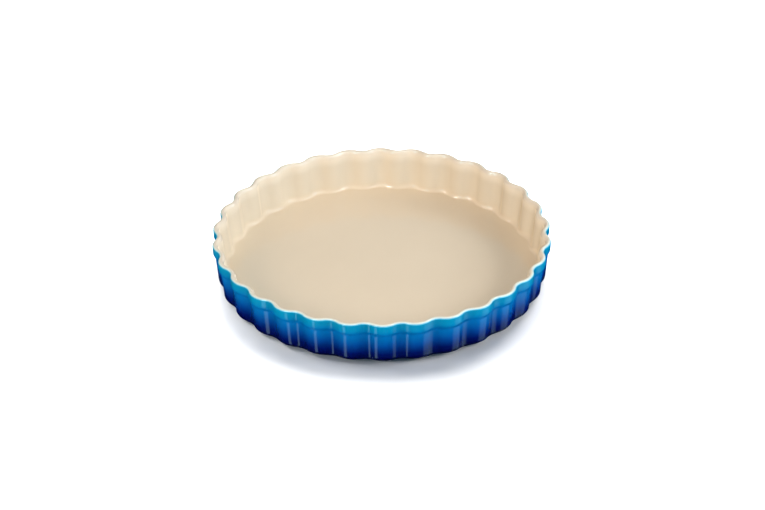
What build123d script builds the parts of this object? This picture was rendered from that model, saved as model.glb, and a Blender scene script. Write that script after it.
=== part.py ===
from build123d import *
import os
from math import cos, pi, sin, sqrt

# A round quiche dish of fired stoneware with a fluted wall. Millimetres, +Z up.
# The origin is in the middle of the plane that the dish stands on.

# Overall size, across the crests of the flutes at the lip and up to the top of the lip.
overall_diameter = 280.0
overall_height = 40.0

# Flutes. Each one is a lobe arc that runs tangent into a crease arc.
flute_count = 30
lip_flute_depth = 3.9
crease_to_lobe_share = 0.64

# The outside of the wall. A setback is how far its crests lie inside the crests of the lip.
wall_top_setback = 2.2
wall_top_flute_depth = 3.8
wall_foot_setback = 4.4
wall_foot_flute_depth = 3.6
base_rounding_radius = 5.5
base_flute_depth = 1.8

# The collar, the thicker band round the top of the wall, and the step under it.
collar_height = 9.0
collar_step_height = 2.5
collar_foot_setback = 0.4

# The lip on top of the collar, with eased edges.
lip_thickness = 4.6
lip_edge_height = 2.0
lip_edge_width = 1.3

# The inside over the glaze: the foot of the wall, the hollow corner and the floor.
wall_foot_thickness = 4.5
inner_foot_flute_depth = 3.5
cove_radius = 4.0
floor_flute_depth = 2.2
floor_thickness = 5.0
glaze_thickness = 0.4

# The foot ring, left bare, on which the dish stands. Its inset is from the creases of the
# flat underside, where the rounding of the base ends.
foot_height = 1.5
foot_ring_inset = 4.3
foot_ring_width = 5.0
foot_ring_flank_width = 0.8

# Heights that follow from those sizes.
wall_foot_z = foot_height + base_rounding_radius
collar_foot_z = overall_height - collar_height
wall_top_z = collar_foot_z - collar_step_height
lip_edge_z = overall_height - lip_edge_height
floor_z = foot_height + floor_thickness
cove_top_z = floor_z + cove_radius

# Radii of the crest circles.
lip_crest_radius = overall_diameter / 2
wall_top_crest_radius = lip_crest_radius - wall_top_setback
wall_foot_crest_radius = lip_crest_radius - wall_foot_setback

# Radii of the underside's creases and of the foot ring inside them.
underside_crease_radius = wall_foot_crest_radius - base_rounding_radius - base_flute_depth
foot_ring_radius = underside_crease_radius - foot_ring_inset

# How far, as a share of its radius, the middle of a quarter round has come in from its ends.
round_middle_share = 1 - cos(pi / 4)


def between(low, high, share):
    """The value that lies a share of the way from low to high."""
    return low + share * (high - low)


def flute_arc_radii(crest_radius, flute_depth):
    """Radii of the lobe and crease arcs that meet tangent, for a crest circle and a depth."""
    half_turn = cos(pi / flute_count)
    k = crease_to_lobe_share
    crease_circle = crest_radius - flute_depth
    a = 2 * k * (1 - half_turn)
    b = crest_radius * (1 + k * half_turn) - crease_circle * (k + half_turn)
    c = crest_radius**2 + crease_circle**2 - 2 * crest_radius * crease_circle * half_turn
    lobe_radius = (sqrt(b * b + a * c) - b) / a
    return lobe_radius, k * lobe_radius


def fluted_outline(crest_radius, flute_depth, z, inset=0.0):
    """Closed outline of tangent arcs at height z. An inset outline keeps the arcs' centres."""
    lobe_radius, crease_radius = flute_arc_radii(crest_radius, flute_depth)
    half_flute = 180 / flute_count
    crease_foot_radius = crest_radius - flute_depth
    lobe_centre = Vector(crest_radius - lobe_radius, 0, z)
    crease_centre = Vector(crease_foot_radius + crease_radius, 0, z).rotate(Axis.Z, half_flute)
    towards_crease = (crease_centre - lobe_centre).normalized()
    joint = lobe_centre + towards_crease * (lobe_radius - inset)
    mirrored_joint = Vector(joint.X, -joint.Y, z)
    next_joint = mirrored_joint.rotate(Axis.Z, 2 * half_flute)
    crest = Vector(crest_radius - inset, 0, z)
    crease_foot = Vector(crease_foot_radius - inset, 0, z).rotate(Axis.Z, half_flute)
    lobe_arc = ThreePointArc(mirrored_joint, crest, joint)
    crease_arc = ThreePointArc(joint, crease_foot, next_joint)
    edges = []
    for i in range(flute_count):
        # The crests stand half a flute off the X axis, so that one faces straight forward.
        turn = (2 * i + 1) * half_flute
        edges.append(lobe_arc.rotate(Axis.Z, turn))
        edges.append(crease_arc.rotate(Axis.Z, turn))
    return Wire(edges)


def base_outline(z, inset, fade_share):
    """Outline round the base, where the flutes fade towards the underside."""
    depth = between(wall_foot_flute_depth, base_flute_depth, fade_share)
    return fluted_outline(wall_foot_crest_radius, depth, z, inset)


def lip_outline(z, inset=0.0):
    """Outline of the lip, inset from its outer side."""
    return fluted_outline(lip_crest_radius, lip_flute_depth, z, inset)


def inner_foot_outline(z, inset, fade_share=0.0):
    """Outline round the foot of the hollow, inset from the outer wall beside it."""
    height_share = (cove_top_z - wall_foot_z) / (wall_top_z - wall_foot_z)
    crest_radius = between(wall_foot_crest_radius, wall_top_crest_radius, height_share)
    depth = between(inner_foot_flute_depth, floor_flute_depth, fade_share)
    return fluted_outline(crest_radius, depth, z, inset)


def outside_form():
    """The dish as a full block, from its underside up to the top of the lip."""
    base_middle_z = wall_foot_z - base_rounding_radius * sin(pi / 4)
    base_middle_inset = base_rounding_radius * round_middle_share
    collar_foot_crest_radius = lip_crest_radius - collar_foot_setback
    sections = [
        base_outline(foot_height, base_rounding_radius, 1.0),
        base_outline(base_middle_z, base_middle_inset, 0.5),
        base_outline(wall_foot_z, 0.0, 0.0),
        fluted_outline(wall_top_crest_radius, wall_top_flute_depth, wall_top_z),
        fluted_outline(collar_foot_crest_radius, lip_flute_depth, collar_foot_z),
        lip_outline(lip_edge_z),
        lip_outline(overall_height, lip_edge_width),
    ]
    return Solid.make_loft(sections, ruled=True)


def clay_hollow_sections():
    """The hollow in the clay under the glaze, up to the lip's inner edge."""
    clay_floor_z = floor_z - glaze_thickness
    corner_cut = (cove_radius + glaze_thickness) * 2 * round_middle_share
    inset = wall_foot_thickness - glaze_thickness
    return [
        inner_foot_outline(clay_floor_z, inset + corner_cut, 1.0),
        inner_foot_outline(clay_floor_z + corner_cut, inset),
        lip_outline(lip_edge_z, lip_thickness),
    ]


def glazed_hollow_sections():
    """The hollow that the food fills, over the glaze, up to the lip's inner edge."""
    middle_z = cove_top_z - cove_radius * sin(pi / 4)
    middle_inset = wall_foot_thickness + cove_radius * round_middle_share
    return [
        inner_foot_outline(floor_z, wall_foot_thickness + cove_radius, 1.0),
        inner_foot_outline(middle_z, middle_inset, 0.5),
        inner_foot_outline(cove_top_z, wall_foot_thickness),
        lip_outline(lip_edge_z, lip_thickness),
    ]


def foot_ring():
    """A ring with sloping flanks under the floor."""
    inner_radius = foot_ring_radius - foot_ring_width
    profile = Polyline(
        (inner_radius, 0, foot_height),
        (inner_radius + foot_ring_flank_width, 0, 0),
        (foot_ring_radius - foot_ring_flank_width, 0, 0),
        (foot_ring_radius, 0, foot_height),
        close=True,
    )
    return revolve(make_face(profile), Axis.Z)


def stoneware_body():
    """The fired clay: floor, fluted wall, collar, lip and foot ring."""
    lip_inner_top = lip_outline(overall_height, lip_thickness - lip_edge_width)
    hollow = Solid.make_loft(clay_hollow_sections() + [lip_inner_top], ruled=True)
    return outside_form() - hollow + foot_ring()


def interior_glaze():
    """The coat on the floor and the inner wall. It thins out to nothing at the lip."""
    clay_side = Solid.make_loft(clay_hollow_sections(), ruled=True)
    food_side = Solid.make_loft(glazed_hollow_sections(), ruled=True)
    return clay_side - food_side


os.makedirs("parts", exist_ok=True)
nodes = {
    "stoneware_body": stoneware_body(),
    "interior_glaze": interior_glaze(),
}
for name, shape in nodes.items():
    export_step(shape, f"parts/{name}.step")
    print(name, round(shape.volume), "mm3", shape.is_valid)
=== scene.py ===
from math import atan2, cos, hypot, pi, radians, sin, sqrt
from typing import NamedTuple

import bpy
import numpy as np
from mathutils import Matrix, Vector

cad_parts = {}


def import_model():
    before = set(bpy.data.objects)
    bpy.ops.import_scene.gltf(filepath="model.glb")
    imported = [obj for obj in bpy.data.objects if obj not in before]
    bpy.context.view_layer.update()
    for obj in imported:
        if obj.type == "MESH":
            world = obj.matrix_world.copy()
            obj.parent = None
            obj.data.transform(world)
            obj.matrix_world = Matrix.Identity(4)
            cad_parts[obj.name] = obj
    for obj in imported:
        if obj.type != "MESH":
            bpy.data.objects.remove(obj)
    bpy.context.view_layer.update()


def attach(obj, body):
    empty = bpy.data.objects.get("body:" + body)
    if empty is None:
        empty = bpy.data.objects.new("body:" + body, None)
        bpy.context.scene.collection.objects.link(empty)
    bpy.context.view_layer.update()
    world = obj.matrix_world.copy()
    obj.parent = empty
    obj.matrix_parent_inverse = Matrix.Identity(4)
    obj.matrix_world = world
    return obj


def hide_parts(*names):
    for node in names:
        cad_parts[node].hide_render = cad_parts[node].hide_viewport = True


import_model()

# The looks of a fluted quiche dish. Shapes are worked out in millimetres, and built in metres.
MM = 0.001

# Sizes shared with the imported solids.
FLUTES = 30
CREASE_TO_LOBE = 0.64
LIP_CREST = 140.0
LIP_DEPTH = 3.9
LIP_TOP_Z = 40.0
LIP_EDGE_Z = 38.0
LIP_THICKNESS = 4.6
COLLAR_FOOT_CREST = 139.6
COLLAR_FOOT_Z = 31.0
WALL_TOP_CREST = 137.8
WALL_TOP_DEPTH = 3.8
WALL_TOP_Z = 28.5
WALL_FOOT_CREST = 135.6
WALL_FOOT_DEPTH = 3.6
WALL_FOOT_Z = 7.0
BASE_ROUNDING = 5.5
BASE_DEPTH = 1.8
UNDERSIDE_Z = 1.5
INNER_FOOT_CREST = 135.96
INNER_FOOT_DEPTH = 3.5
INNER_FOOT_INSET = 4.5
COVE_RADIUS = 4.0
FLOOR_DEPTH = 2.2
FLOOR_Z = 6.5
GLAZE = 0.4
RING_OUTER = 124.0
RING_INNER = 119.0
RING_FLANK = 0.8

# Finer sizes that only the looks have: the soft step under the collar, and the rounded lip.
STEP_FOOT_Z = 27.7
STEP_TOP_Z = 32.1
STEP_EASE_SHARE = 0.8
LIP_TOP_INSET = 2.1
LIP_INNER_WIDTH = 2.75
LIP_INNER_HEIGHT = 4.2

# The foot ring's rounded edges, and the small hollow corner where it meets the underside.
RING_EDGE = 0.35
RING_CORNER_WIDTH = 0.2
RING_CORNER_DROP = 0.15
RING_SURROUND = 2.0

# Where the glaze stops beside the foot ring: the gap, the edge as pairs of a distance and a rise,
# and the width of the flat rim of the coat inside the ring.
GLAZE_STOP_GAP = 0.5
GLAZE_STOP_EDGE = ((0.5, 0.0), (0.2, 0.05), (0.05, 0.18))
UNDERSIDE_GLAZE_RIM = 6.0

# Flutes turn into circles over the flat faces, as pairs of a distance and a share of a circle.
# The last two are the radii that the floor's discs start from.
UNDERSIDE_FADE_SHARES = ((2.0, 0.35), (4.0, 0.75))
FLOOR_FADE_SHARES = ((3.0, 0.25), (8.0, 0.7))
FLOOR_CIRCLE = 112.0
CLAY_FLOOR_CIRCLE = 118.0

# How finely the shapes are cut.
ARC_SAMPLES = 16
LIP_ROWS = 14
COLLAR_ROWS = 8
STEP_ROWS = 14
WALL_ROWS = 16
BASE_ROWS = 14
INNER_WALL_ROWS = 18
COVE_ROWS = 14
RING_EDGE_ROWS = 5
DISC_STEP_SHARE = 0.8
DISC_LAST_STEPS_SHARE = 0.5

# How far the inner wall leans out, and where on the lip's inner rounding that lean is met.
COVE_TOP_Z = FLOOR_Z + COVE_RADIUS
LIP_OUTER_HEIGHT = LIP_TOP_Z - LIP_EDGE_Z
INNER_FLARE = (LIP_CREST - LIP_THICKNESS) - (INNER_FOOT_CREST - INNER_FOOT_INSET)
INNER_LEAN = atan2(INNER_FLARE, LIP_EDGE_Z - COVE_TOP_Z)
INNER_LEAN_ANGLE = atan2(LIP_INNER_HEIGHT * sin(INNER_LEAN), LIP_INNER_WIDTH * cos(INNER_LEAN))


# Outlines.

def mix(a, b, share):
    """The value a share of the way from a to b."""
    return a + (b - a) * share


def smooth(t):
    """Ease in and out between 0 and 1."""
    return t * t * (3 - 2 * t)


def flute_arc_radii(crest, depth):
    """Radii of the lobe and crease arcs that meet tangent, for a crest circle and a depth."""
    half_turn = cos(pi / FLUTES)
    k = CREASE_TO_LOBE
    crease_circle = crest - depth
    a = 2 * k * (1 - half_turn)
    b = crest * (1 + k * half_turn) - crease_circle * (k + half_turn)
    c = crest**2 + crease_circle**2 - 2 * crest * crease_circle * half_turn
    lobe = (sqrt(b * b + a * c) - b) / a
    return lobe, k * lobe


def fluted(crest, depth, inset):
    """Points of a fluted outline, flute after flute, as an array of x and y."""
    lobe, crease = flute_arc_radii(crest, depth)
    half_flute = pi / FLUTES
    lobe_x = crest - lobe
    crease_centre = crest - depth + crease
    crease_x, crease_y = crease_centre * cos(half_flute), crease_centre * sin(half_flute)
    # A lobe arc swings this far to each side, where it meets the crease arc.
    swing = atan2(crease_y, crease_x - lobe_x)
    t = np.linspace(-swing, swing, ARC_SAMPLES, endpoint=False)
    u = np.linspace(swing + pi, 2 * half_flute - swing + pi, ARC_SAMPLES, endpoint=False)
    x = np.r_[lobe_x + (lobe - inset) * np.cos(t), crease_x + (crease + inset) * np.cos(u)]
    y = np.r_[(lobe - inset) * np.sin(t), crease_y + (crease + inset) * np.sin(u)]
    turns = (2 * np.arange(FLUTES)[:, None] + 1) * half_flute
    return np.stack([
        (x * np.cos(turns) - y * np.sin(turns)).ravel(),
        (x * np.sin(turns) + y * np.cos(turns)).ravel(),
    ], axis=1)


# The turn of each point round the dish, and how near it is to the bottom of a crease.
TURN = np.arctan2(*fluted(LIP_CREST, LIP_DEPTH, 0.0).T[::-1])
PHASE = np.tile(np.linspace(-pi / 2, 3 * pi / 2, 2 * ARC_SAMPLES, endpoint=False), FLUTES)
CREASE_WEIGHT = (1 - np.cos(PHASE)) / 2
AROUND = len(TURN)


# Profiles.

class Row(NamedTuple):
    """One outline of a profile: its crest circle, the depth of its flutes, how far in it lies from
    that circle, and its height. A round_share of 1 makes it a plain circle."""
    crest: float
    depth: float
    inset: float
    z: float
    round_share: float = 0.0

    @property
    def radius(self):
        """The circle that the row's crests touch."""
        return self.crest - self.inset


def circle_row(radius, z):
    """A row that is a plain circle."""
    return Row(radius, 0.0, 0.0, z, 1.0)


def ring(row):
    """The points of a row."""
    flat = row.radius * np.stack([np.cos(TURN), np.sin(TURN)], axis=1)
    if row.round_share < 1:
        flat = mix(fluted(row.crest, row.depth, row.inset), flat, row.round_share)
    return np.column_stack([flat, np.full(AROUND, row.z)])


def run(a, b, count):
    """Rows from a towards b, without b."""
    return [Row(*(mix(p, q, i / count) for p, q in zip(a, b))) for i in range(count)]


def offset(rows, thickness):
    """The rows moved to the right of their direction of travel, seen with the axis on the left."""
    moved = []
    for i, row in enumerate(rows):
        before, after = rows[max(i - 1, 0)], rows[min(i + 1, len(rows) - 1)]
        along_r = after.radius - before.radius
        along_z = after.z - before.z
        length = hypot(along_r, along_z)
        inset = row.inset - thickness * along_z / length
        moved.append(row._replace(inset=inset, z=row.z - thickness * along_r / length))
    return moved


def travel(rows):
    """Distance along a profile at each of its rows."""
    place = [0.0]
    for a, b in zip(rows, rows[1:]):
        place.append(place[-1] + hypot(b.radius - a.radius, b.z - a.z))
    return place


def wall_at(z):
    """Crest circle and flute depth of the outer wall at a height."""
    share = (z - WALL_FOOT_Z) / (WALL_TOP_Z - WALL_FOOT_Z)
    return mix(WALL_FOOT_CREST, WALL_TOP_CREST, share), mix(WALL_FOOT_DEPTH, WALL_TOP_DEPTH, share)


def lip_rows():
    """Over the lip from its inner edge to its outer side: two rounded corners that meet on top."""
    rows = []
    for angle in np.linspace(pi - INNER_LEAN_ANGLE, pi / 2, LIP_ROWS, endpoint=False):
        inset = LIP_TOP_INSET - LIP_INNER_WIDTH * cos(angle)
        rows.append(Row(LIP_CREST, LIP_DEPTH, inset, LIP_TOP_Z - LIP_INNER_HEIGHT * (1 - sin(angle))))
    for angle in np.linspace(pi / 2, 0, LIP_ROWS, endpoint=False):
        inset = LIP_TOP_INSET * (1 - cos(angle))
        rows.append(Row(LIP_CREST, LIP_DEPTH, inset, LIP_EDGE_Z + LIP_OUTER_HEIGHT * sin(angle)))
    return rows


def rounded_foot(start, foot_depth, radius, lean, count):
    """From the lean of a wall round to a flat face. The start is where an upright wall would end."""
    rows = []
    for angle in np.linspace(lean, pi / 2, count):
        depth = mix(start.depth, foot_depth, smooth(angle / (pi / 2)))
        inset = start.inset + radius * (1 - cos(angle))
        rows.append(Row(start.crest, depth, inset, start.z - radius * sin(angle)))
    return rows


def outer_rows():
    """From the lip's inner edge over the lip, down the outside and round the base."""
    collar_share = (STEP_TOP_Z - COLLAR_FOOT_Z) / (LIP_EDGE_Z - COLLAR_FOOT_Z)
    step_top = Row(mix(COLLAR_FOOT_CREST, LIP_CREST, collar_share), LIP_DEPTH, 0.0, STEP_TOP_Z)
    rows = lip_rows()
    rows += run(Row(LIP_CREST, LIP_DEPTH, 0.0, LIP_EDGE_Z), step_top, COLLAR_ROWS)
    for share in np.linspace(0, 1, STEP_ROWS, endpoint=False):
        z = mix(STEP_TOP_Z, STEP_FOOT_Z, share)
        crest, depth = wall_at(z)
        blend = mix(share, smooth(share), STEP_EASE_SHARE)
        rows.append(Row(mix(step_top.crest, crest, blend), mix(LIP_DEPTH, depth, blend), 0.0, z))
    lean = atan2(WALL_TOP_CREST - WALL_FOOT_CREST, WALL_TOP_Z - WALL_FOOT_Z)
    wall_foot = Row(WALL_FOOT_CREST, WALL_FOOT_DEPTH, 0.0, WALL_FOOT_Z)
    base = rounded_foot(wall_foot, BASE_DEPTH, BASE_ROUNDING, lean, BASE_ROWS)
    step_foot = Row(*wall_at(STEP_FOOT_Z), 0.0, STEP_FOOT_Z)
    return rows + run(step_foot, base[0]._replace(depth=WALL_FOOT_DEPTH), WALL_ROWS) + base


def inner_rows():
    """From the lip's inner edge down the inner wall and round the hollow corner to the floor."""
    wall_foot = Row(INNER_FOOT_CREST, INNER_FOOT_DEPTH, INNER_FOOT_INSET, COVE_TOP_Z)
    cove = rounded_foot(wall_foot, FLOOR_DEPTH, COVE_RADIUS, INNER_LEAN, COVE_ROWS)
    return run(lip_rows()[0], cove[0]._replace(depth=INNER_FOOT_DEPTH), INNER_WALL_ROWS) + cove


def faded_rows(last, fade_shares, z):
    """Rows that go on from the last one over a flat face, while the flutes turn into a circle."""
    return [last._replace(inset=last.inset + distance, z=z, round_share=share)
            for distance, share in fade_shares]


# Meshes.

class Skin:
    """A mesh made of rings that go round the dish, and discs that close it."""

    def __init__(self):
        self.points, self.faces, self.along, self.crease, self.sharp = [], [], [], [], []
        self.count = 0

    def add_ring(self, points, along=0.0, crease=None):
        """Adds a ring of points and gives back the number of its first one."""
        first = self.count
        self.points.append(points)
        self.along.append(np.full(len(points), along))
        self.crease.append(np.zeros(len(points)) if crease is None else crease)
        self.count += len(points)
        return first

    def add_rows(self, rows, sign=1):
        """Adds the rings of a profile, joined by bands, and gives back the number of each."""
        starts = []
        for row, place in zip(rows, travel(rows)):
            weight = CREASE_WEIGHT * (1 - row.round_share) * row.depth / LIP_DEPTH
            starts.append(self.add_ring(ring(row), sign * place, weight))
        for a, b in zip(starts, starts[1:]):
            self.band(a, b)
        return starts

    def band(self, a, b):
        """Quads between two rings."""
        i = np.arange(AROUND)
        j = (i + 1) % AROUND
        self.faces += np.stack([a + i, b + i, b + j, a + j], axis=1).tolist()

    def mark_sharp(self, *rings):
        """The rings are sharp edges."""
        self.sharp += rings

    def disc(self, a, radius, z, along=0.0, flip=False):
        """Closes ring a, of about this radius, with a flat disc. Each ring in it has half the points
        of the one outside it."""
        first_face = len(self.faces)
        size = AROUND
        turns = TURN
        while size > FLUTES:
            half = size // 2
            turns = turns[::2]
            radius *= DISC_STEP_SHARE if size > 4 * FLUTES else DISC_LAST_STEPS_SHARE
            circle = radius * np.stack([np.cos(turns), np.sin(turns)], axis=1)
            b = self.add_ring(np.column_stack([circle, np.full(half, z)]), along)
            i = np.arange(half)
            j = (i + 1) % half
            outer, middle, outer_next = a + 2 * i, a + 2 * i + 1, a + 2 * j
            self.faces += np.stack([outer, b + i, middle], axis=1).tolist()
            self.faces += np.stack([middle, b + i, b + j], axis=1).tolist()
            self.faces += np.stack([middle, b + j, outer_next], axis=1).tolist()
            a, size = b, half
        centre = self.add_ring(np.array([[0.0, 0.0, z]]), along)
        i = np.arange(size)
        self.faces += np.stack([a + i, np.full(size, centre), a + (i + 1) % size], axis=1).tolist()
        if flip:
            self.faces[first_face:] = [face[::-1] for face in self.faces[first_face:]]

    def build(self, name, flip=False):
        """The object, in metres, smooth except at its sharp rings."""
        mesh = bpy.data.meshes.new(name)
        faces = [face[::-1] for face in self.faces] if flip else self.faces
        mesh.from_pydata((np.concatenate(self.points) * MM).tolist(), [], faces)
        mesh.polygons.foreach_set("use_smooth", np.ones(len(mesh.polygons), bool))
        for label, values in (("along", self.along), ("crease", self.crease)):
            layer = mesh.attributes.new(label, "FLOAT", "POINT")
            layer.data.foreach_set("value", np.concatenate(values).astype(np.float32))
        if self.sharp:
            vertices = np.zeros(2 * len(mesh.edges), np.int32)
            mesh.edges.foreach_get("vertices", vertices)
            vertices = vertices.reshape(-1, 2)
            flags = np.zeros(len(mesh.edges), bool)
            for start in self.sharp:
                flags |= ((vertices >= start) & (vertices < start + AROUND)).all(axis=1)
            layer = mesh.attributes.new("sharp_edge", "BOOLEAN", "EDGE")
            layer.data.foreach_set("value", flags)
        mesh.validate()
        piece = bpy.data.objects.new(name, mesh)
        bpy.context.scene.collection.objects.link(piece)
        return piece


def outer_glaze():
    """The coat over the lip, the outside and the underside as far as the foot ring."""
    stop = RING_OUTER + GLAZE_STOP_GAP
    rows = outer_rows()
    rows += faded_rows(rows[-1], UNDERSIDE_FADE_SHARES, UNDERSIDE_Z)
    rows += [circle_row(stop + distance, UNDERSIDE_Z + rise) for distance, rise in GLAZE_STOP_EDGE]
    under = offset(rows[:-2], GLAZE)[::-1]
    under[0] = circle_row(stop, UNDERSIDE_Z + GLAZE)
    skin = Skin()
    face = skin.add_rows(rows)
    back = skin.add_rows(under)
    skin.band(face[-1], back[0])
    skin.band(back[-1], face[0])
    skin.mark_sharp(face[0], back[-1], back[0])
    return skin.build("outer_glaze")


def inner_glaze():
    """The coat on the inner wall and the floor."""
    rows = inner_rows()
    rows += faded_rows(rows[-1], FLOOR_FADE_SHARES, FLOOR_Z)
    rows.append(circle_row(FLOOR_CIRCLE, FLOOR_Z))
    skin = Skin()
    face = skin.add_rows(rows, -1)
    back = skin.add_rows(offset(rows, -GLAZE)[::-1])
    skin.disc(face[-1], FLOOR_CIRCLE, FLOOR_Z, -travel(rows)[-1])
    skin.disc(back[0], FLOOR_CIRCLE, FLOOR_Z - GLAZE, flip=True)
    skin.band(back[-1], face[0])
    skin.mark_sharp(face[0], back[-1])
    return skin.build("inner_glaze", flip=True)


def clay_body():
    """The fired clay under the coats, with the foot ring that is left bare."""
    clay_z = UNDERSIDE_Z + GLAZE
    flank = [(-RING_SURROUND, clay_z), (-RING_CORNER_WIDTH, clay_z), (0.0, clay_z - RING_CORNER_DROP)]
    for angle in np.linspace(0, pi / 2, RING_EDGE_ROWS):
        flank.append((RING_FLANK + RING_EDGE * (1 - cos(angle)), RING_EDGE * (1 - sin(angle))))
    ring_rows = [circle_row(RING_OUTER - inset, z) for inset, z in flank]
    ring_rows += [circle_row(RING_INNER + inset, z) for inset, z in flank[::-1]]
    inside = offset(inner_rows(), -GLAZE)[::-1]
    skin = Skin()
    starts = skin.add_rows(inside + offset(outer_rows(), GLAZE) + ring_rows)
    skin.disc(starts[0], CLAY_FLOOR_CIRCLE, FLOOR_Z - GLAZE, flip=True)
    skin.disc(starts[-1], RING_INNER - RING_SURROUND, clay_z)
    return skin.build("clay_body")


def underside_glaze():
    """The coat on the underside within the foot ring."""
    stop = RING_INNER - GLAZE_STOP_GAP
    rim = stop - UNDERSIDE_GLAZE_RIM
    top_z = UNDERSIDE_Z + GLAZE
    rows = [circle_row(stop, top_z)]
    rows += [circle_row(stop - distance, UNDERSIDE_Z + rise) for distance, rise in GLAZE_STOP_EDGE[::-1]]
    rows.append(circle_row(rim, UNDERSIDE_Z))
    skin = Skin()
    starts = skin.add_rows(rows)
    back = skin.add_ring(ring(circle_row(rim, top_z)))
    skin.band(back, starts[0])
    skin.disc(starts[-1], rim, UNDERSIDE_Z)
    skin.disc(back, rim, top_z, flip=True)
    skin.mark_sharp(starts[0])
    return skin.build("underside_glaze")


# Materials.

def srgb(r, g, b):
    """A colour given as display values from 0 to 255, as linear light."""
    def linear(v):
        v /= 255
        return v / 12.92 if v <= 0.04045 else ((v + 0.055) / 1.055) ** 2.4
    return (linear(r), linear(g), linear(b), 1.0)


class Nodes:
    """Short calls for building a node tree."""

    def __init__(self, owner):
        owner.use_nodes = True
        self.tree = owner.node_tree
        self.tree.nodes.clear()

    def put(self, node, key, value):
        """Links a socket to an input of the node, or sets the input to a value."""
        if isinstance(value, bpy.types.NodeSocket):
            self.tree.links.new(value, node.inputs[key])
        else:
            node.inputs[key].default_value = value

    def add(self, kind, *values, **settings):
        """A node, with inputs given by position or name: a socket links, a value is set."""
        node = self.tree.nodes.new(kind)
        inputs = settings.pop("inputs", {})
        for key, value in settings.items():
            setattr(node, key, value)
        for key, value in [*enumerate(values), *inputs.items()]:
            self.put(node, key, value)
        return node

    def math(self, operation, *values):
        """One step of arithmetic on the values."""
        return self.add("ShaderNodeMath", *values, operation=operation).outputs[0]

    def ramp(self, value, stops):
        """A colour ramp. A stop is a place and a colour."""
        node = self.add("ShaderNodeValToRGB", value)
        elements = node.color_ramp.elements
        while len(elements) < len(stops):
            elements.new(1.0)
        for element, (place, colour) in zip(elements, stops):
            element.position = place
            element.color = colour
        return node.outputs[0]

    def spread(self, value, low, high, new_low=0.0, new_high=1.0):
        """The value between low and high, spread over a new range."""
        return self.add("ShaderNodeMapRange", value, low, high, new_low, new_high).outputs[0]

    def ease(self, value, low, high, new_low=0.0, new_high=1.0):
        """As spread, and eased at both ends."""
        node = self.add("ShaderNodeMapRange", value, low, high, new_low, new_high)
        node.interpolation_type = "SMOOTHSTEP"
        return node.outputs[0]

    def noise(self, place, scale, detail, roughness):
        """Noise around 0.5 at a place."""
        node = self.add("ShaderNodeTexNoise", place,
                        inputs={"Scale": scale, "Detail": detail, "Roughness": roughness})
        return node.outputs["Fac"]

    def drift(self, place, reach, scale, detail, roughness):
        """Noise around 0, to shift a border by."""
        noise = self.noise(place, scale, detail, roughness)
        return self.math("MULTIPLY", self.math("SUBTRACT", noise, 0.5), reach)

    def blend(self, factor, a, b):
        """Colour a at a factor of 0, and colour b at 1."""
        node = self.add("ShaderNodeMix", data_type="RGBA", inputs={0: factor, 6: a, 7: b})
        return node.outputs[2]

    def bump(self, height, strength, distance):
        """A normal from a height."""
        return self.add("ShaderNodeBump", inputs={
            "Strength": strength,
            "Distance": distance,
            "Height": height,
        }).outputs[0]

    def attribute(self, name):
        """A value kept at the mesh's points."""
        return self.add("ShaderNodeAttribute", attribute_name=name).outputs["Fac"]

    def place(self):
        """The place on the object, in metres."""
        return self.add("ShaderNodeTexCoord").outputs["Object"]

    def finish(self, shader, kind="ShaderNodeOutputMaterial"):
        """Sends the shader to the output."""
        self.add(kind, shader)


# Colours, as they show in plain light.
WHITE_LIP = srgb(218, 226, 216)
CREAM = srgb(225, 208, 181)
CREAM_WALL = srgb(221, 209, 187)
CREAM_LIP = srgb(234, 223, 203)
CREAM_SHADE = srgb(190, 165, 135)
TURQUOISE = srgb(110, 195, 218)
POOLED_BLUE = (0.0, 0.01, 0.08, 1.0)
CLAY = srgb(196, 178, 150)
PALE_CLAY = srgb(208, 192, 166)
CLAY_SPECK = srgb(110, 90, 70)

# The blue from the base to the lip, at shares of the height.
BLUE_SHARES = (
    (0.05, srgb(4, 4, 48)),
    (0.15, srgb(1, 5, 68)),
    (0.25, srgb(0, 17, 90)),
    (0.35, srgb(0, 43, 114)),
    (0.45, srgb(0, 66, 137)),
    (0.55, srgb(0, 84, 153)),
    (0.65, srgb(0, 97, 163)),
    (0.75, srgb(0, 103, 167)),
    (0.86, srgb(0, 122, 165)),
    (0.97, srgb(0, 131, 168)),
)

# Where one colour gives way to the next, in millimetres of travel from the lip's inner edge:
# outwards over the lip, and inwards, below zero, down the inner wall.
CREAM_LIP_END = (4.6, 5.4)
WHITE_LIP_END = (5.9, 6.7)
TURQUOISE_END = (6.5, 7.5)
CREAM_WALL_TOP = (-8.0, 0.0)
CREAM_WALL_FOOT = (-34.0, -24.0)

# How strongly the blue pools in the creases, and how strongly shade and specks show.
POOLING = 0.18
MOTTLING = 0.06
SPECKLING = 0.5

# Noise keeps mostly within the first span. A speck is where it rises through the second.
NOISE_SPAN = (0.3, 0.7)
SPECK_SPAN = (0.66, 0.72)

# The glaze's waves and orange peel, as shares of its bump, and how its roughness varies.
WAVE_SHARE = 0.9
PEEL_SHARE = 0.05
SMOOTHEST = 0.8
ROUGHEST = 1.3
GLAZE_IOR = 1.5


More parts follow.
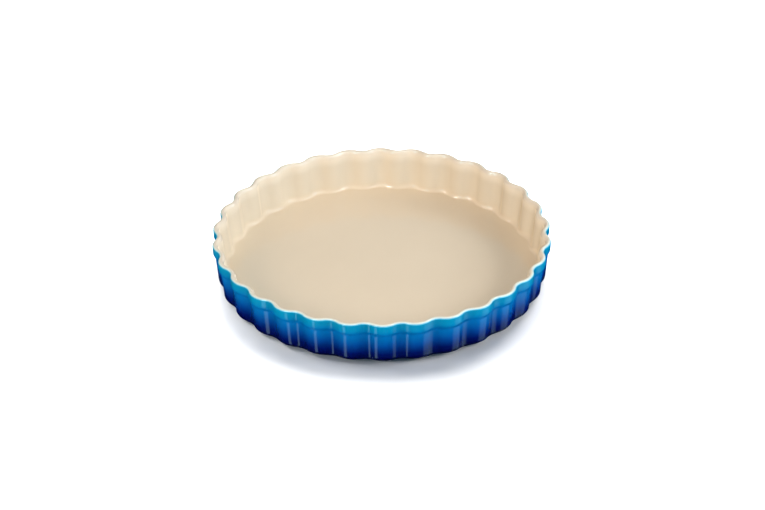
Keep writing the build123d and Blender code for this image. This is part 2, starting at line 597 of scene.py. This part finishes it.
def glaze_surface(n, colour, place, roughness, shine, shine_end):
    """A glossy glaze with a faint orange peel and slow waves in it."""
    waves = n.noise(place, scale=90.0, detail=1.0, roughness=0.4)
    peel = n.noise(place, scale=900.0, detail=2.0, roughness=0.5)
    height = n.math("ADD", n.math("MULTIPLY", waves, WAVE_SHARE), n.math("MULTIPLY", peel, PEEL_SHARE))
    patches = n.noise(place, scale=40.0, detail=3.0, roughness=0.6)
    # The shine fades where a flute turns out of sight, which keeps its outline free of dark lines.
    facing = n.add("ShaderNodeLayerWeight", inputs={"Blend": 0.5}).outputs["Facing"]
    return n.add("ShaderNodeBsdfPrincipled", inputs={
        "Base Color": colour,
        "Roughness": n.spread(patches, *NOISE_SPAN, roughness * SMOOTHEST, roughness * ROUGHEST),
        "IOR": GLAZE_IOR,
        "Specular IOR Level": n.ease(facing, *shine_end, shine, 0.0),
        "Normal": n.bump(height, strength=0.05, distance=0.0006),
    }).outputs[0]


def outer_material():
    """Blue glaze, light at the collar and navy at the base, breaking pale over the lip."""
    material = bpy.data.materials.new("blue_glaze")
    n = Nodes(material)
    place = n.place()
    z = n.add("ShaderNodeSeparateXYZ", place).outputs["Z"]
    height = n.math("ADD", z, n.drift(place, reach=0.003, scale=30.0, detail=3.0, roughness=0.5))
    colour = n.ramp(n.spread(height, 0.0, LIP_TOP_Z * MM), BLUE_SHARES)
    colour = n.blend(n.math("MULTIPLY", n.attribute("crease"), POOLING), colour, POOLED_BLUE)
    along = n.attribute("along")
    edge = n.math("ADD", along, n.drift(place, reach=0.5, scale=160.0, detail=2.0, roughness=0.5))
    colour = n.blend(n.ease(edge, *TURQUOISE_END), TURQUOISE, colour)
    colour = n.blend(n.ease(edge, *WHITE_LIP_END), WHITE_LIP, colour)
    colour = n.blend(n.ease(along, *CREAM_LIP_END), CREAM_LIP, colour)
    n.finish(glaze_surface(n, colour, place, roughness=0.10, shine=0.5, shine_end=(0.7, 0.9)))
    return material


def inner_material():
    """Cream glaze, paler towards the lip."""
    material = bpy.data.materials.new("cream_glaze")
    n = Nodes(material)
    place = n.place()
    along = n.attribute("along")
    colour = n.blend(n.ease(along, *CREAM_WALL_FOOT), CREAM, CREAM_WALL)
    colour = n.blend(n.ease(along, *CREAM_WALL_TOP), colour, CREAM_LIP)
    mottle = n.noise(place, scale=22.0, detail=4.0, roughness=0.55)
    shade = n.math("MULTIPLY", n.spread(mottle, *NOISE_SPAN), MOTTLING)
    colour = n.blend(shade, colour, CREAM_SHADE)
    n.finish(glaze_surface(n, colour, place, roughness=0.07, shine=0.33, shine_end=(0.5, 0.7)))
    return material


def clay_material():
    """Bare stoneware: buff, dry and speckled."""
    material = bpy.data.materials.new("bare_clay")
    n = Nodes(material)
    place = n.place()
    grain = n.noise(place, scale=1400.0, detail=3.0, roughness=0.6)
    patches = n.noise(place, scale=35.0, detail=3.0, roughness=0.5)
    specks = n.noise(place, scale=2600.0, detail=1.0, roughness=0.5)
    colour = n.blend(n.spread(patches, *NOISE_SPAN), CLAY, PALE_CLAY)
    speckle = n.math("MULTIPLY", n.spread(specks, *SPECK_SPAN), SPECKLING)
    colour = n.blend(speckle, colour, CLAY_SPECK)
    n.finish(n.add("ShaderNodeBsdfPrincipled", inputs={
        "Base Color": colour,
        "Roughness": 0.85,
        "Normal": n.bump(grain, strength=0.5, distance=0.0002),
    }).outputs[0])
    return material


# Stage, in metres, and its colours.
FLOOR_REACH = 30.0
FLOOR_GREY = (0.8, 0.8, 0.8, 1.0)
FLOOR_MIRROR = (0.3, 0.3, 0.3, 1.0)
SHADOW_TINT = (0.3, 0.65, 1.1, 1.0)
FAR_GLOW = (0.6, 1.0)
PURE_WHITE = (1.0, 1.0, 1.0, 1.0)
LAMP_AIM = Vector((0.0, 0.0, 0.02))
LAMP_DISTANCE = 1.6
SHEEN_DISTANCE = 1.5

# Lamp colours.
NEUTRAL = (1.0, 1.0, 1.0)
DAYLIGHT = (0.96, 1.0, 1.06)
WARM_LIGHT = (1.0, 0.80, 0.62)
COOL_SHEEN = (0.55, 0.9, 1.0)
WARM_SHEEN = (1.0, 0.9, 0.8)


def floor():
    """A wide pale floor that keeps the dish's shadow. In the gloss it is a dim mirror."""
    mesh = bpy.data.meshes.new("floor")
    r = FLOOR_REACH
    mesh.from_pydata([(-r, -r, 0), (r, -r, 0), (r, r, 0), (-r, r, 0)], [], [(0, 1, 2, 3)])
    plane = bpy.data.objects.new("floor", mesh)
    bpy.context.scene.collection.objects.link(plane)
    material = bpy.data.materials.new("pale_floor")
    n = Nodes(material)
    paths = n.add("ShaderNodeLightPath")
    lit = n.add("ShaderNodeBsdfDiffuse", inputs={"Color": FLOOR_GREY}).outputs[0]
    tint = n.add("ShaderNodeEmission", inputs={"Color": SHADOW_TINT, "Strength": 0.04}).outputs[0]
    # Far from the dish the floor glows to the eye, so that it stays pale where no lamp reaches.
    distance = n.add("ShaderNodeVectorMath", n.place(), operation="LENGTH").outputs["Value"]
    glow = n.ease(distance, *FAR_GLOW)
    far = n.add("ShaderNodeEmission", inputs={"Color": PURE_WHITE, "Strength": glow}).outputs[0]
    seen = n.add("ShaderNodeAddShader", lit, tint).outputs[0]
    seen = n.add("ShaderNodeAddShader", seen, far).outputs[0]
    mirror = n.add("ShaderNodeBsdfGlossy", inputs={"Color": FLOOR_MIRROR, "Roughness": 0.05}).outputs[0]
    surface = n.add("ShaderNodeMixShader", paths.outputs["Is Camera Ray"], lit, seen).outputs[0]
    surface = n.add("ShaderNodeMixShader", paths.outputs["Is Glossy Ray"], surface, mirror).outputs[0]
    n.finish(surface)
    mesh.materials.append(material)
    return plane


def world():
    """White to the camera, a faint grey in the gloss, and no light on anything else."""
    sky = bpy.data.worlds.new("studio")
    bpy.context.scene.world = sky
    n = Nodes(sky)
    paths = n.add("ShaderNodeLightPath")
    dark, faint, white = [
        n.add("ShaderNodeBackground", inputs={"Color": PURE_WHITE, "Strength": strength}).outputs[0]
        for strength in (0.0, 0.02, 1.0)
    ]
    shown = n.add("ShaderNodeMixShader", paths.outputs["Is Glossy Ray"], dark, faint).outputs[0]
    shown = n.add("ShaderNodeMixShader", paths.outputs["Is Camera Ray"], shown, white).outputs[0]
    n.finish(shown, "ShaderNodeOutputWorld")


def lamp(name, place, size, power, receivers, colour=NEUTRAL, seen=False):
    """A soft rectangular lamp that points at the dish. One that is seen shows only in the gloss."""
    light = bpy.data.lights.new(name, "AREA")
    light.shape = "RECTANGLE"
    light.size, light.size_y = size
    light.energy = power
    light.color = colour
    holder = bpy.data.objects.new(name, light)
    bpy.context.scene.collection.objects.link(holder)
    holder.location = place
    holder.rotation_euler = (LAMP_AIM - Vector(place)).to_track_quat("-Z", "Y").to_euler()
    holder.visible_glossy = seen
    holder.visible_diffuse = not seen
    if receivers:
        holder.light_linking.receiver_collection = receivers


def group(name, pieces):
    """A collection of pieces for a lamp to light on their own."""
    collection = bpy.data.collections.new(name)
    for piece in pieces:
        collection.objects.link(piece)
    return collection


def around(azimuth, elevation, distance):
    """A place seen from the dish: azimuth 0 is in front of it and 90 on its right, in degrees."""
    a, e = radians(azimuth), radians(elevation)
    return (distance * sin(a) * cos(e), -distance * cos(a) * cos(e), distance * sin(e))


def camera():
    """A long lens, placed so that the lip's centre and its tilt fall where the photo has them."""
    # The photo's size, the focal length, and the target's place in the photo, all in pixels.
    width, height = 765, 510
    focal = 4316.3
    centre_x, centre_y = 381.54, 234.24
    elevation, azimuth, roll = radians(31.895), radians(-0.18), -0.011314
    distance = 3.5595
    target = Vector((0.0, 0.0, 0.0393))
    back = Vector((sin(azimuth) * cos(elevation), -cos(azimuth) * cos(elevation), sin(elevation)))
    right = Vector((cos(azimuth), sin(azimuth), 0.0))
    straight = Matrix((right, back.cross(right), back)).transposed()
    off_centre = Vector(((centre_x - width / 2) / focal, (height / 2 - centre_y) / focal, -1.0))
    turn = off_centre.normalized().rotation_difference(Vector((0.0, 0.0, -1.0))).to_matrix()
    frame_turn = straight @ Matrix.Rotation(roll, 3, "Z") @ turn
    data = bpy.data.cameras.new("camera")
    data.sensor_width = 36.0
    data.lens = focal * data.sensor_width / width
    data.clip_start, data.clip_end = 0.1, 100.0
    holder = bpy.data.objects.new("camera", data)
    bpy.context.scene.collection.objects.link(holder)
    holder.matrix_world = Matrix.Translation(target + back * distance) @ frame_turn.to_4x4()
    bpy.context.scene.camera = holder


# The dish.

body, outer, inner, under = clay_body(), outer_glaze(), inner_glaze(), underside_glaze()
blue = outer_material()
for piece, material in ((body, clay_material()), (outer, blue), (inner, inner_material()), (under, blue)):
    piece.data.materials.append(material)
    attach(piece, "root")
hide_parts("stoneware_body")
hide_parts("interior_glaze")

# Its surroundings. A lamp has a name, an azimuth and elevation in degrees, a size in metres and
# a power in watts, and then what it lights and its colour, where they differ.

world()
camera()
dish = group("dish", (body, outer, inner, under))
inside = group("inside", (inner,))
ground = group("ground", (floor(),))

for name, azimuth, elevation, size, power, colour in (
    ("right", 78, 30, (1.5, 0.7), 17.0, DAYLIGHT),
    ("front", 0, 40, (0.9, 1.0), 15.0, DAYLIGHT),
    ("left", -62, 32, (1.2, 0.7), 12.6, WARM_LIGHT),
    ("right_back", 128, 30, (0.9, 0.6), 6.5, NEUTRAL),
    ("back", -160, 30, (0.9, 0.6), 1.9, NEUTRAL),
):
    lamp(name, around(azimuth, elevation, LAMP_DISTANCE), size, power, dish, colour)
for name, azimuth, elevation, size, power in (
    ("ground_back_right", 148, 17, (0.6, 0.5), 36.0),
    ("ground_right", 90, 20, (1.0, 0.5), 26.0),
    ("ground_left_low", -72, 15, (0.5, 0.5), 13.0),
    ("ground_left", -108, 33, (0.7, 0.6), 21.0),
    ("ground_back_left", -150, 36, (0.8, 0.8), 18.0),
    ("ground_back", 180, 45, (0.8, 0.5), 14.0),
    ("ground_high", 170, 62, (1.2, 0.7), 31.0),
):
    lamp(name, around(azimuth, elevation, LAMP_DISTANCE), size, power, ground)
for name, azimuth, elevation, size, power, receivers, colour in (
    ("left_strip", -40, 32, (0.30, 0.9), 4.6, None, COOL_SHEEN),
    ("right_strip", 76, 32, (0.95, 0.9), 6.6, None, COOL_SHEEN),
    ("top_strip", 0, 80, (1.6, 0.3), 2.5, dish, COOL_SHEEN),
    ("left_glint", -40, 38, (0.25, 1.6), 10.0, dish, COOL_SHEEN),
    ("right_glint", 76, 40, (0.8, 1.4), 12.0, dish, COOL_SHEEN),
    ("cove_glint_left", -76, 57, (0.6, 0.3), 22.0, inside, WARM_SHEEN),
    ("cove_glint_right", 64, 55, (1.2, 0.25), 14.0, inside, WARM_SHEEN),
    ("back_sheen", 180, 34, (2.4, 1.1), 7.5, inside, COOL_SHEEN),
):
    lamp(name, around(azimuth, elevation, SHEEN_DISTANCE), size, power, receivers, colour, seen=True)

scene = bpy.context.scene
scene.view_settings.view_transform = "Standard"
